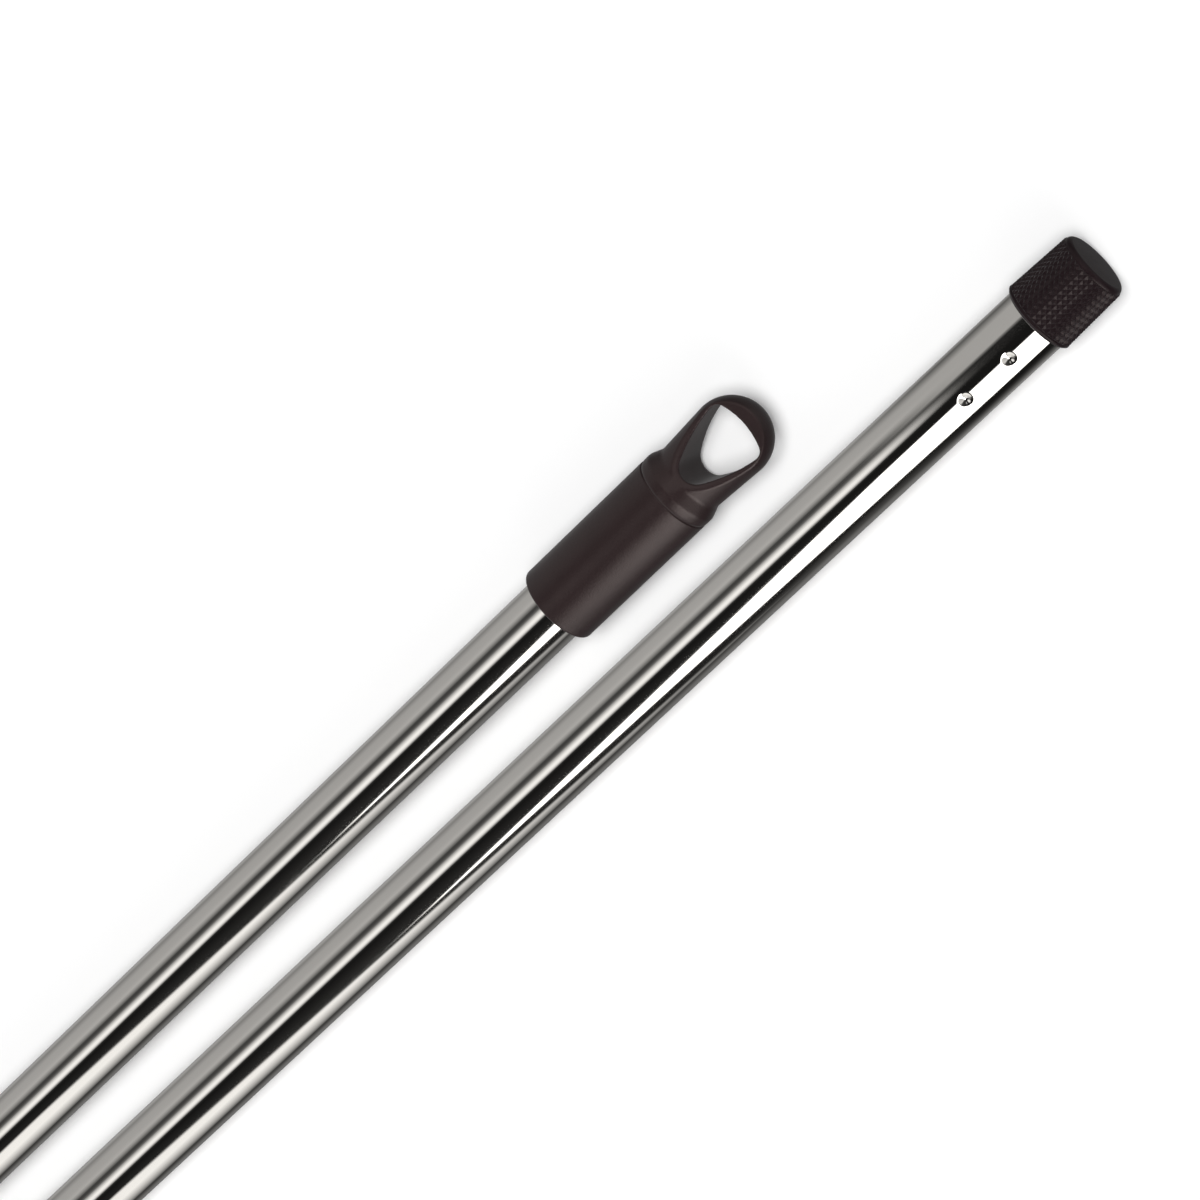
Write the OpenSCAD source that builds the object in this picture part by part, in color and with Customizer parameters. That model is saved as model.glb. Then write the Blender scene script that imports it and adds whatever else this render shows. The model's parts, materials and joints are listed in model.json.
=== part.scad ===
// Take-apart pole for a boat hook: two chromed tube sections lying side by side.
// The head section ends in a knurled tip that takes the tool, the butt section in a hang cap.
// Their other ends join by a spigot with a spring button. All sizes are in millimetres.
// X runs along the poles towards the finished ends, Z is up, and the origin is on the
// ground below the middle of the pair.

/* [Tubes] */
// Outside diameter of both tubes
tube_d = 22; // [20:0.5:28]
// Wall of both tubes
tube_wall = 1; // [0.8:0.1:1.6]
// Length of the head section's tube
head_tube_len = 620; // [480:10:900]
// Length of the butt section's tube
butt_tube_len = 620; // [480:10:900]
// Gap between the widest fittings of the two sections as they lie
lay_gap = 10.7; // [6:0.1:40]
// How far the end of the hang cap lies behind the end of the tip
lay_back = 107; // [0:1:200]

/* [Knurled tip] */
// How far the tip stands out over the tube where it meets it
tip_step = 1.5; // [1:0.1:4]
// How much the tip's radius falls towards its free end
tip_taper = 0.7; // [0.2:0.1:2]
// Length of the tip outside the tube
tip_len = 24.5; // [18:0.5:40]
// Bevel on the rim that faces the tube
tip_bevel = 0.9; // [0.3:0.1:1.5]
// Rounding of the edge of the free end
tip_round = 1.6; // [0.5:0.1:3]
// Length of the shank past the last dimple that holds it
tip_shank_past = 12; // [6:1:40]
// Wall of the moulded shank and of the cored-out tip
tip_wall = 3.2; // [2.4:0.2:4]

/* [Punched dimples] */
// Diameter of a dimple at the tube's surface
dimple_d = 4; // [2.5:0.1:5]
// Depth of a dimple
dimple_depth = 0.9; // [0.5:0.1:1.2]
// Distance of the first dimple from the end of the tube
dimple_first = 11.8; // [8:0.2:16]
// Distance between the two dimples of a row
dimple_step = 18.2; // [10:0.2:20]
// Turn of the first row round the tube, from the top towards the outer side
dimple_turn = 22; // [0:1:90]
// Rows of dimples round the tube
dimple_rows = 2; // [1:1:4]

/* [Hang cap] */
// Wall of the sleeve round the tube
cap_wall = 2.75; // [2:0.05:4]
// Length of the sleeve up to its shoulder
cap_sleeve_len = 57; // [40:1:80]
// Thickness of the floor between the tube's end and the shoulder
cap_floor = 5; // [3:0.5:12]
// Rounding of the sleeve's mouth
cap_mouth_round = 0.9; // [0.3:0.1:1.2]
// Distance of the groove round the sleeve from the shoulder
cap_groove_back = 3.4; // [2:0.2:8]
// Width of the groove round the sleeve
cap_groove_w = 0.9; // [0.5:0.1:1.5]
// Length of the sloping shoulder
cap_shoulder_len = 4.2; // [2:0.2:8]
// How far the waist behind the eye is drawn in from the sleeve
cap_waist_in = 1.65; // [0.8:0.05:2.5]
// Length of the loop from the shoulder to its end
cap_loop_len = 36; // [32:0.5:45]
// How far the loop is drawn in from the sleeve
cap_loop_in = 0.6; // [0.2:0.1:1.2]
// Thickness of the loop at its end
cap_loop_t = 11; // [8:0.2:15]
// Radius of the scoop that thins the loop on both faces
cap_scoop_r = 81; // [70:1:110]
// Wall between the eye and the end of the loop
eye_end_wall = 5.4; // [4:0.2:8]
// Distance of the eye from the shoulder
eye_start = 6; // [4:0.5:9]
// Wall of the loop's arms beside the eye
eye_arm = 2.7; // [2.2:0.1:5]
// Radius of the eye's corner towards the sleeve
eye_point_r = 5.5; // [4:0.1:7]
// Radius of the eye's two outer corners
eye_corner_r = 3; // [2:0.1:5]
// Radius of the eye's bowed outer side
eye_side_r = 25; // [20:0.5:40]
// Radius of the eye's two bowed flanks
eye_flank_r = 48; // [40:1:80]

/* [Coupling] */
// Length of the spigot past the last dimple that holds it
spigot_past = 25; // [8:1:50]
// Length of the spigot that enters the butt section
spigot_out_len = 60; // [48:1:90]
// Wall of the spigot
spigot_wall = 3; // [2.4:0.1:3.6]
// Bevel on the spigot's nose
spigot_nose = 2; // [1:0.1:2.2]
// How far the collar between the two sections stands out over the tube
collar_step = 1.5; // [1:0.1:4]
// Length of the collar
collar_len = 8; // [4:0.5:15]
// Bevel on the collar's edges
collar_bevel = 0.9; // [0.3:0.1:1.2]
// Wall of the ferrule round the butt section's mouth
ferrule_wall = 2.75; // [2:0.05:4]
// Length of the ferrule
ferrule_len = 44; // [38:1:60]
// Thickness of the ferrule's lip in front of the tube
ferrule_lip = 2.5; // [1.5:0.1:4]
// Rounding of the ferrule's edges
ferrule_round = 0.9; // [0.3:0.1:1.2]

/* [Spring button] */
// Diameter of the button
button_d = 7; // [5:0.1:8]
// Distance of the button from the collar
button_from_collar = 23; // [20:0.5:34]
// Height of the button above the ferrule when the pole is joined
button_proud = 0.6; // [0.2:0.1:1.5]
// Height of the button's domed top
button_dome = 1.8; // [0.8:0.1:3]
// Width of the flange round the button that holds it in
button_flange_w = 1.3; // [0.8:0.1:1.6]
// Thickness of the flange
button_flange_t = 1; // [0.8:0.1:1.2]
// Thickness of the spring strip
spring_t = 0.6; // [0.4:0.05:0.8]
// Width of the spring strip
spring_w = 5; // [3.5:0.1:6]
// Length of the spring's arms from the button to the bend
spring_arm = 30; // [20:1:40]
// Mean radius of the spring's bend
spring_bend_r = 1.6; // [1:0.1:2]

/* [Clearances] */
// Radial gap between a tube's bore and what is pushed into it
bore_gap = 0.1; // [0.05:0.01:0.2]
// Radial gap between a tube and a sleeve pushed over it
sleeve_gap = 0.05; // [0.02:0.01:0.1]
// Radial gap round the button in its hole
button_gap = 0.15; // [0.1:0.01:0.3]
// Gap between the button's flange and the spigot's bore at rest
flange_gap = 0.3; // [0.2:0.05:0.5]
// Gap between the spring and what it bears on
spring_gap = 0.05; // [0.02:0.01:0.1]

/* [Hidden] */
$fn = 96;
CHROME = [0.80, 0.80, 0.79];
BLACK_PLASTIC = [0.17, 0.16, 0.16];
STEEL = [0.62, 0.62, 0.61];
// Overshoot of cutting bodies, so that no cut ends on a face
cut = 1;
// Straight steps in an arc of the eye's outline
ARC_STEPS = 10;

// Radii that mating pieces share
tube_r = tube_d / 2;
bore_r = tube_r - tube_wall;
plug_r = bore_r - bore_gap;
sleeve_r = tube_r + sleeve_gap;
spigot_bore_r = plug_r - spigot_wall;
tip_base_r = tube_r + tip_step;
tip_end_r = tip_base_r - tip_taper;
collar_r = tube_r + collar_step;
cap_r = sleeve_r + cap_wall;
waist_r = cap_r - cap_waist_in;
loop_r = cap_r - cap_loop_in;
ferrule_r = sleeve_r + ferrule_wall;

// What each moulded plug has inside the tube reaches past its two dimples
plug_hold_len = dimple_first + dimple_step;
tip_shank_len = plug_hold_len + tip_shank_past;
spigot_in_len = plug_hold_len + spigot_past;

// Places along X of each section's faces
cap_len = cap_sleeve_len + cap_loop_len;
cap_bore_depth = cap_sleeve_len - cap_floor;
head_len = tip_len + head_tube_len + collar_len + spigot_out_len;
butt_len = cap_len - cap_bore_depth + butt_tube_len + ferrule_lip;
pair_len = max(head_len, lay_back + butt_len);
tip_end_x = pair_len / 2;
head_tube_x1 = tip_end_x - tip_len;
head_tube_x0 = head_tube_x1 - head_tube_len;
collar_x0 = head_tube_x0 - collar_len;
spigot_end_x = collar_x0 - spigot_out_len;
cap_end_x = tip_end_x - lay_back;
cap_mouth_x = cap_end_x - cap_len;
butt_tube_x1 = cap_mouth_x + cap_bore_depth;
butt_tube_x0 = butt_tube_x1 - butt_tube_len;
ferrule_x0 = butt_tube_x0 - ferrule_lip;

// Each section rests on its widest fittings, and the pair is centred across
head_r = max(tip_base_r, collar_r);
butt_r = max(cap_r, ferrule_r);
lay_half_w = head_r + lay_gap / 2 + butt_r;
head_y = head_r - lay_half_w;
butt_y = lay_half_w - butt_r;

// Radius of the ball whose cap has the given width and depth
function cap_ball_r(width, depth) = (pow(width / 2, 2) + pow(depth, 2)) / (2 * depth);

// Ball of the punch that makes the dimples
punch_r = cap_ball_r(dimple_d, dimple_depth);
dimple_rows_at = [for (i = [0:dimple_rows - 1]) dimple_turn + i * 360 / dimple_rows];

// Heights of the button above the head section's axis
button_x = collar_x0 - button_from_collar;
button_top_h = ferrule_r + button_proud;
button_flange_r = button_d / 2 + button_flange_w;
flange_top_h = sqrt(pow(spigot_bore_r, 2) - pow(button_flange_r, 2)) - flange_gap;
flange_h = flange_top_h - button_flange_t;
button_dome_r = cap_ball_r(button_d, button_dome);
button_hole_d = button_d + 2 * button_gap;

// Spring: the pad under the button, the bend and the foot on the spigot's bore
spring_top_h = flange_h - spring_gap - spring_t / 2;
spring_foot_h = spring_t / 2 + spring_gap - sqrt(pow(spigot_bore_r, 2) - pow(spring_w / 2, 2));
spring_mid_h = (spring_top_h + spring_foot_h) / 2;
spring_pad = button_flange_r;

// Places along the hang cap, measured from its mouth
waist_x = cap_sleeve_len + cap_shoulder_len;
loop_ball_x = cap_len - loop_r;
eye_near_x = cap_sleeve_len + eye_start;
eye_len = cap_len - eye_end_wall - eye_near_x;
eye_w = 2 * (loop_r - eye_arm);

// A section's own axis becomes the world's X, and its -X becomes up
module on_head() {
    translate([0, head_y, head_r])
        rotate([0, 90, 0])
            children();
}

module on_butt() {
    translate([0, butt_y, butt_r])
        rotate([0, 90, 0])
            children();
}

// Balls at the dimples of one tube end; dir is +1 where the tube runs towards +X from it
module dimple_balls(end_x, dir, r) {
    for (turn = dimple_rows_at)
        for (i = [0:1])
            rotate([0, 0, turn])
                translate([-(tube_r + punch_r - dimple_depth), 0, end_x + dir * (dimple_first + i * dimple_step)])
                    sphere(r = r);
}

// All dimples of the head tube, at the tip and at the spigot
module head_dimples(r) {
    dimple_balls(head_tube_x1, -1, r);
    dimple_balls(head_tube_x0, 1, r);
}

// Plain length of tube
module tube(x0, len) {
    translate([0, 0, x0])
        difference() {
            cylinder(r = tube_r, h = len);
            translate([0, 0, -cut])
                cylinder(r = bore_r, h = len + 2 * cut);
        }
}

// Hole for the button, drilled upwards from a section's axis
module button_hole(x) {
    translate([0, 0, x])
        rotate([0, -90, 0])
            cylinder(d = button_hole_d, h = butt_r + cut);
}

// Flat strip between two points, with round ends so that strips join
module strip(a, b) {
    run = b - a;
    side = [-run[1], run[0]] * spring_t / 2 / norm(run);
    polygon([a + side, a - side, b - side, b + side]);
    translate(a)
        circle(d = spring_t);
    translate(b)
        circle(d = spring_t);
}

// Points of an arc from angle a0 to a1
function arc(centre, r, a0, a1) =
    [for (i = [0:ARC_STEPS]) let (a = a0 + (a1 - a0) * i / ARC_STEPS) centre + r * [cos(a), sin(a)]];

// Direction from one point to another
function heading(from, to) = atan2(to[1] - from[1], to[0] - from[0]);

// Centre of the round of radius r that holds two smaller rounds and touches both; it lies left
// of the way from a to b
function bow_centre(a, ra, b, rb, r) =
    let (
        gap = norm(b - a),
        way = (b - a) / gap,
        along = (pow(r - ra, 2) - pow(r - rb, 2) + pow(gap, 2)) / (2 * gap),
        off = sqrt(pow(r - ra, 2) - pow(along, 2))
    )
    a + along * way + off * [-way[1], way[0]];

// Outline of the eye from the origin along +X: three round corners joined by bowed sides
function eye_outline() =
    let (
        side = [eye_len - eye_side_r, 0],
        corner_swing = eye_side_r - eye_corner_r,
        side_turn = asin((eye_w / 2 - eye_corner_r) / corner_swing),
        corner = side + corner_swing * [cos(side_turn), sin(side_turn)],
        point = [eye_point_r, 0],
        flank = bow_centre(corner, eye_corner_r, point, eye_point_r, eye_flank_r),
        flank_from = heading(flank, corner),
        flank_to = heading(flank, point),
        upper = concat(
            arc(corner, eye_corner_r, side_turn, flank_from),
            arc(flank, eye_flank_r, flank_from, flank_to)
        )
    )
    concat(
        arc(side, eye_side_r, -side_turn, side_turn),
        upper,
        arc(point, eye_point_r, flank_to, 360 - flank_to),
        [for (i = [len(upper) - 1:-1:0]) [upper[i][0], -upper[i][1]]]
    );

// Chromed tube of the head section, punched onto the tip and the spigot
module head_tube() {
    color(CHROME)
        on_head()
            difference() {
                union() {
                    tube(head_tube_x0, head_tube_len);
                    intersection() {
                        translate([0, 0, head_tube_x0])
                            cylinder(r = tube_r, h = head_tube_len);
                        head_dimples(punch_r + tube_wall);
                    }
                }
                head_dimples(punch_r);
            }
}

// Moulded tip: a slightly tapered head on a shank that the dimples hold
module knurled_tip() {
    color(BLACK_PLASTIC)
        on_head()
            difference() {
                translate([0, 0, head_tube_x1])
                    rotate_extrude()
                        tip_profile();
                head_dimples(punch_r + tube_wall + bore_gap);
            }
}

// Half section of the tip; Y runs along the pole from the tube's end
module tip_profile() {
    core_r = plug_r - tip_wall;
    difference() {
        union() {
            translate([0, -tip_shank_len])
                square([plug_r, tip_shank_len + tip_wall]);
            polygon([
                [0, 0], [tip_base_r - tip_bevel, 0], [tip_base_r, tip_bevel],
                [tip_end_r, tip_len - tip_round], [tip_end_r - tip_round, tip_len - tip_round],
                [tip_end_r - tip_round, tip_len], [0, tip_len]
            ]);
            translate([tip_end_r - tip_round, tip_len - tip_round])
                circle(r = tip_round);
        }
        translate([0, -tip_shank_len - cut])
            square([core_r, tip_shank_len + tip_len - tip_wall + cut]);
    }
}

// Moulded spigot: one half in the head tube, a collar, and the half that enters the socket
module coupling_spigot() {
    color(BLACK_PLASTIC)
        on_head()
            difference() {
                translate([0, 0, spigot_end_x])
                    rotate_extrude()
                        spigot_profile();
                button_hole(button_x);
                head_dimples(punch_r + tube_wall + bore_gap);
            }
}

// Half section of the spigot; Y runs along the pole from the nose
module spigot_profile() {
    collar_y1 = spigot_out_len + collar_len;
    spigot_len = collar_y1 + spigot_in_len;
    polygon([
        [spigot_bore_r, 0], [plug_r - spigot_nose, 0], [plug_r, spigot_nose],
        [plug_r, spigot_out_len], [collar_r - collar_bevel, spigot_out_len],
        [collar_r, spigot_out_len + collar_bevel], [collar_r, collar_y1 - collar_bevel],
        [collar_r - collar_bevel, collar_y1], [plug_r, collar_y1],
        [plug_r, spigot_len], [spigot_bore_r, spigot_len]
    ]);
}

// Bent leaf spring inside the spigot: pad under the button, bend, foot on the bore
module button_spring() {
    bend_x = button_x + spring_arm;
    color(STEEL)
        translate([0, head_y + spring_w / 2, head_r])
            rotate([90, 0, 0])
                linear_extrude(spring_w) {
                    strip([button_x - spring_pad, spring_top_h], [button_x + spring_pad, spring_top_h]);
                    strip([button_x + spring_pad, spring_top_h], [bend_x, spring_mid_h + spring_bend_r]);
                    strip([button_x - spring_pad, spring_foot_h], [bend_x, spring_mid_h - spring_bend_r]);
                    intersection() {
                        translate([bend_x, spring_mid_h])
                            difference() {
                                circle(r = spring_bend_r + spring_t / 2);
                                circle(r = spring_bend_r - spring_t / 2);
                            }
                        translate([bend_x, spring_mid_h - 2 * spring_bend_r])
                            square(4 * spring_bend_r);
                    }
                }
}

// Steel button with a domed top and a flange that keeps it in the spigot
module snap_button() {
    color(STEEL)
        translate([button_x, head_y, head_r + flange_h])
            rotate_extrude()
                button_profile();
}

// Half section of the button; Y runs up from the underside of the flange
module button_profile() {
    button_h = button_top_h - flange_h;
    square([button_flange_r, button_flange_t]);
    square([button_d / 2, button_h - button_dome_r]);
    intersection() {
        square([button_d / 2, button_h]);
        translate([0, button_h - button_dome_r])
            circle(r = button_dome_r);
    }
}

// Chromed tube of the butt section, drilled for the button
module butt_tube() {
    color(CHROME)
        on_butt()
            difference() {
                tube(butt_tube_x0, butt_tube_len);
                button_hole(ferrule_x0 + button_from_collar);
            }
}

// Moulded hang cap: sleeve, sloping shoulder, waist and a scooped loop with a three-sided eye
module hang_cap() {
    color(BLACK_PLASTIC)
        on_butt()
            translate([0, 0, cap_mouth_x])
                difference() {
                    rotate_extrude()
                        cap_profile();
                    translate([0, 0, -cut])
                        cylinder(r = sleeve_r, h = cap_bore_depth + cut);
                    for (face = [-1, 1])
                        cap_scoop(face);
                    translate([butt_r, 0, eye_near_x])
                        rotate([0, -90, 0])
                            linear_extrude(2 * butt_r)
                                polygon(eye_outline());
                }
}

// Half section of the cap's turned form; Y runs along the pole from the mouth
module cap_profile() {
    groove_y = cap_sleeve_len - cap_groove_back;
    difference() {
        union() {
            translate([0, cap_mouth_round])
                square([cap_r, cap_sleeve_len - cap_mouth_round]);
            square([cap_r - cap_mouth_round, cap_mouth_round]);
            translate([cap_r - cap_mouth_round, cap_mouth_round])
                circle(r = cap_mouth_round);
            polygon([
                [0, cap_sleeve_len], [cap_r, cap_sleeve_len], [waist_r, waist_x],
                [loop_r, loop_ball_x], [0, loop_ball_x]
            ]);
            intersection() {
                translate([0, loop_ball_x])
                    circle(r = loop_r);
                translate([0, loop_ball_x])
                    square(loop_r + cut);
            }
        }
        translate([cap_r, groove_y])
            rotate(45)
                square(cap_groove_w / sqrt(2), center = true);
    }
}

// Round body that scoops one face of the loop and runs out level at its end
module cap_scoop(face) {
    rotate([0, 0, face > 0 ? 0 : 180])
        translate([cap_loop_t / 2 + cap_scoop_r, butt_r + cut, cap_len])
            rotate([90, 0, 0])
                cylinder(r = cap_scoop_r, h = 2 * (butt_r + cut));
}

// Moulded ferrule that guards the mouth of the butt section
module socket_ferrule() {
    color(BLACK_PLASTIC)
        on_butt()
            difference() {
                translate([0, 0, ferrule_x0])
                    rotate_extrude()
                        ferrule_profile();
                button_hole(ferrule_x0 + button_from_collar);
            }
}

// Half section of the ferrule; Y runs along the pole from the lip
module ferrule_profile() {
    difference() {
        union() {
            translate([0, ferrule_round])
                square([ferrule_r, ferrule_len - 2 * ferrule_round]);
            square([ferrule_r - ferrule_round, ferrule_len]);
            for (y = [ferrule_round, ferrule_len - ferrule_round])
                translate([ferrule_r - ferrule_round, y])
                    circle(r = ferrule_round);
        }
        translate([0, -cut])
            square([bore_r + bore_gap, ferrule_len + cut]);
        translate([0, ferrule_lip])
            square([sleeve_r, ferrule_len]);
    }
}

head_tube();
knurled_tip();
coupling_spigot();
button_spring();
snap_button();
butt_tube();
hang_cap();
socket_ferrule();
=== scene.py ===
import json
import math

import bpy
from bpy.props import FloatProperty, FloatVectorProperty, IntProperty, PointerProperty
from bpy.types import Operator, Panel, PropertyGroup
from mathutils import Matrix, Vector


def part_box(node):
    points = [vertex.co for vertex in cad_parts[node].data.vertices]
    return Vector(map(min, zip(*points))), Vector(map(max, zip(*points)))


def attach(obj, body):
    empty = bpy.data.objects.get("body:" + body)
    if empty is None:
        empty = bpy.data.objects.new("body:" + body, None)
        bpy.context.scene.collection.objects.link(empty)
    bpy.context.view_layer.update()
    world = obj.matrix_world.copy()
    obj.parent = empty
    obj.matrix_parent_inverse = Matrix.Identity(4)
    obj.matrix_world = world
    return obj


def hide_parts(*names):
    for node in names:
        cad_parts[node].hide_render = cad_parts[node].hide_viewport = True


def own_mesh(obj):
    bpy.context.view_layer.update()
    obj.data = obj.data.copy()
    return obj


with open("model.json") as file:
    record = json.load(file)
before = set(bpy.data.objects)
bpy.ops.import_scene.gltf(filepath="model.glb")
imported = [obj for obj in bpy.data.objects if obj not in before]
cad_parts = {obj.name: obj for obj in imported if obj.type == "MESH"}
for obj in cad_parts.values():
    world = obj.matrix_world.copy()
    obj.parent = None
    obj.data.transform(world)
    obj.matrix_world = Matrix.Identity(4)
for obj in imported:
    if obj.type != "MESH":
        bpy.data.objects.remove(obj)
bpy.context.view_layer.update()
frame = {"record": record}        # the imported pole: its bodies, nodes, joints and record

bl_info = {
    "name": "Take-apart pole",
    "version": (1, 0, 0),
    "blender": (4, 5, 0),
    "location": "3D View > Sidebar > Pole",
    "description": "Models and dresses a two-section chromed pole on its packed frame",
    "category": "Mesh",
}

MM = 0.001
BODY_OF = {node: body for body, nodes in frame["record"]["behaviour"]["bodies"].items() for node in nodes}
ALONG = Vector((1, 0, 0))
ACROSS = Vector((0, 1, 0))
UP = Vector((0, 0, 1))
# Vertices closer than this are one
WELD = 0.02 * MM
# Edges that turn more than this stay sharp when a piece is shaded smooth
SHARP = math.radians(40)
# The spring strip's sheared edges turn more than this, and the steps of its bend less
SHEARED = math.radians(60)
# A face looks at the axis where its normal and the outward way have a cosine below this
INWARD = -0.5
# Longest straight step in a rounded corner, and the fewest steps in one
ROUND_STEP = 0.3 * MM
FEWEST_STEPS = 4
# Sides of what is turned or drilled
TUBE_SIDES = 360
MOULDED_SIDES = 128
BUTTON_SIDES = 96
HOLE_SIDES = 64
SCOOP_SIDES = 720
# Steps from the top of the button's dome to its edge
DOME_STEPS = 12
# Rings of the tube's mesh to the width of a dimple, and those on either side of its middle
DIMPLE_RINGS = 18
DIMPLE_REACH = 11
# Distance from a drilled hole's middle to the rings beside it, in diameters of the hole
BESIDE_HOLE = 0.7
# Width of the camera's sensor in millimetres
SENSOR = 36
# Scale at which a wave texture draws about one ring to a unit
RING_SCALE = 0.3
# Sockets of a Mix node: two figures and their mixture, then two colours and theirs
FIGURE_A, FIGURE_B, FIGURE = 2, 3, 0
COLOUR_A, COLOUR_B, COLOUR = 6, 7, 2

# The walls of the studio, as (turn, level) stops. A turn is in degrees about the poles: 0 overhead,
# 90 on the hang cap's side, -90 on the tip's side, 180 at the ground. A level is a share of the strip
# lights' level.
# Beside the poles: a dark flag from the tip's side to overhead, and a grey wall on the cap's side
NEAR_WALLS = (
    (-180, .2), (-158, .19), (-139, .09), (-119, .008), (10, .008), (25, .016),
    (31, .15), (36, .36), (90, .35), (109, .2), (128, .09), (150, .22), (180, .2),
)
# Further back: a dark flag, a narrow strip light overhead, a dark gap and the grey wall
FAR_WALLS = (
    (-180, .14), (-139, .13), (-119, .05), (-95, .012), (-40, .018), (-10, .007), (-3, .02),
    (5, .84), (11, .92), (17, .66), (27, .12), (33, .055), (40, .045),
    (52, .28), (60, .41), (74, .36), (98, .34), (124, .2), (142, .3), (180, .14),
)
# Towards the other end: two soft strips between dark flags
OTHER_WALLS = (
    (-180, .14), (-140, .1), (-120, .02), (-104, .06), (-78, .4), (-44, .66), (-34, .05), (-6, .02),
    (4, .8), (24, .7), (36, .36), (80, .34), (104, .1), (120, .02), (140, .1), (180, .14),
)
# What changes with the lean of a direction along the poles, as two leans and the figures at each. A
# lean is 1 straight back, 0 square to the poles and -1 towards the other end.
LEANING = {
    # Share of the walls further back, and how far they turn
    "far_share": (0.28, 0.31, 0, 1),
    "far_turn": (0.35, 0.55, 0, 6),
    # Share of all that isn't towards the other end
    "back_share": (-0.15, 0, 0, 1),
    # Turns of the softboxes' edges, on the tip's side
    "front_box_top": (0.31, 0.47, -30, -63),
    "front_box_foot": (0.27, 0.47, -94, -58),
    "rear_box_top": (0.335, 0.55, -119, -44),
}
# Half widths of the softboxes' soft edges in degrees, and the turns between which the rear one fades
FRONT_BOX_EDGE = 3
REAR_BOX_EDGE = 5
REAR_FOOT_EDGE = 4
REAR_FADE_FROM = -75
REAR_FOOT = -118
# Leans where the room's ends begin and where they are plain
ENDS_FROM = 0.8
ENDS_PLAIN = 0.96


def linear(code):
    """An sRGB hex colour as linear red, green and blue."""
    shares = [int(code[i:i + 2], 16) / 255 for i in (0, 2, 4)]
    return tuple(c / 12.92 if c <= 0.04045 else ((c + 0.055) / 1.055) ** 2.4 for c in shares)


def length(name, description, size):
    """A length that a user may change, given in millimetres."""
    return FloatProperty(name=name, description=description, default=size * MM, unit="LENGTH", precision=5)


def angle(name, description, degrees):
    """An angle that a user may change, given in degrees."""
    return FloatProperty(name=name, description=description, default=math.radians(degrees), subtype="ANGLE")


def level(name, description, share):
    """A level of light or gloss that a user may change."""
    return FloatProperty(name=name, description=description, default=share, min=0)


def count(name, description, number, least):
    """A number of things that a user may change."""
    return IntProperty(name=name, description=description, default=number, min=least)


def colour(name, description, code):
    """A colour that a user may change, given as an sRGB hex value."""
    return FloatVectorProperty(
        name=name, description=description, default=linear(code), subtype="COLOR", min=0, max=1)


class TubeSizes(PropertyGroup):
    diameter: length("Diameter", "Outside diameter of both tubes", 22)
    wall: length("Wall", "Wall of both tubes", 1)
    edge: length("Edge", "Rounding of the cut ends", 0.2)
    dimple_d: length("Dimple width", "Width of the dish that the punch leaves", 5.2)
    dimple_depth: length("Dimple depth", "Depth of a punched dimple", 0.9)
    dimple_first: length("First dimple", "Distance of the first dimple from the tube's end", 11.8)
    dimple_step: length("Dimple step", "Distance between the dimples of a row", 18.2)
    dimple_turn: angle("Dimple turn", "Turn of the first row from the top towards the outer side", 22)
    dimple_rows: count("Dimple rows", "Rows of dimples round the tube", 2, 1)


class TipSizes(PropertyGroup):
    base_r: length("Base radius", "Radius of the tip next to the tube", 12.5)
    end_r: length("End radius", "Radius of the tip at its free end", 11.8)
    bevel: length("Rim bevel", "Bevel of the plain rim next to the tube", 0.9)
    rim: length("Rim", "Width of the plain rim behind its bevel", 0.3)
    round: length("End round", "Rounding of the free end", 1.6)
    shank: length("Shank", "Length of the shank inside the tube", 42)
    shank_r: length("Shank radius", "Radius of the shank", 9.9)
    wall: length("Wall", "Wall of the moulding", 3.2)
    knurl_h: length("Knurl height", "Height of the knurl's points over its grooves", 0.45)
    knurl_count: count("Knurl count", "Diamonds round the tip", 36, 8)


class CapSizes(PropertyGroup):
    radius: length("Radius", "Outside radius of the sleeve", 13.8)
    bore_r: length("Bore radius", "Radius of the bore that takes the tube", 11.05)
    sleeve: length("Sleeve", "Length of the sleeve up to its shoulder", 57)
    floor: length("Floor", "Thickness between the bore and the shoulder", 5)
    mouth_round: length("Mouth round", "Rounding of the sleeve's mouth", 0.9)
    groove_back: length("Groove place", "Distance of the groove from the shoulder", 3.4)
    groove_w: length("Groove width", "Width of the groove round the sleeve", 0.9)
    shoulder: length("Shoulder", "Length of the sloping shoulder", 4.2)
    waist_r: length("Waist radius", "Radius of the waist behind the eye", 12.15)
    loop_r: length("Loop radius", "Radius of the loop at the eye", 13.2)
    loop_t: length("Loop thickness", "Thickness of the loop at its end", 11)
    scoop_r: length("Scoop radius", "Radius of the scoop on both faces of the loop", 81)
    eye_start: length("Eye start", "Distance of the eye from the shoulder", 6)
    eye_end_wall: length("End wall", "Wall between the eye and the loop's end", 5.4)
    eye_arm: length("Arm wall", "Wall of the loop's arms beside the eye", 2.7)
    eye_point_r: length("Point radius", "Radius of the eye's corner towards the sleeve", 5.5)
    eye_corner_r: length("Corner radius", "Radius of the eye's outer corners", 3)
    eye_side_r: length("Side radius", "Radius of the eye's bowed outer side", 25)
    eye_flank_r: length("Flank radius", "Radius of the eye's bowed flanks", 48)
    grain: length("Mesh grain", "Size of the mesh on the moulded loop", 0.3)
    softening: count("Softening", "Passes of smoothing over the moulded loop", 20, 0)


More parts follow.
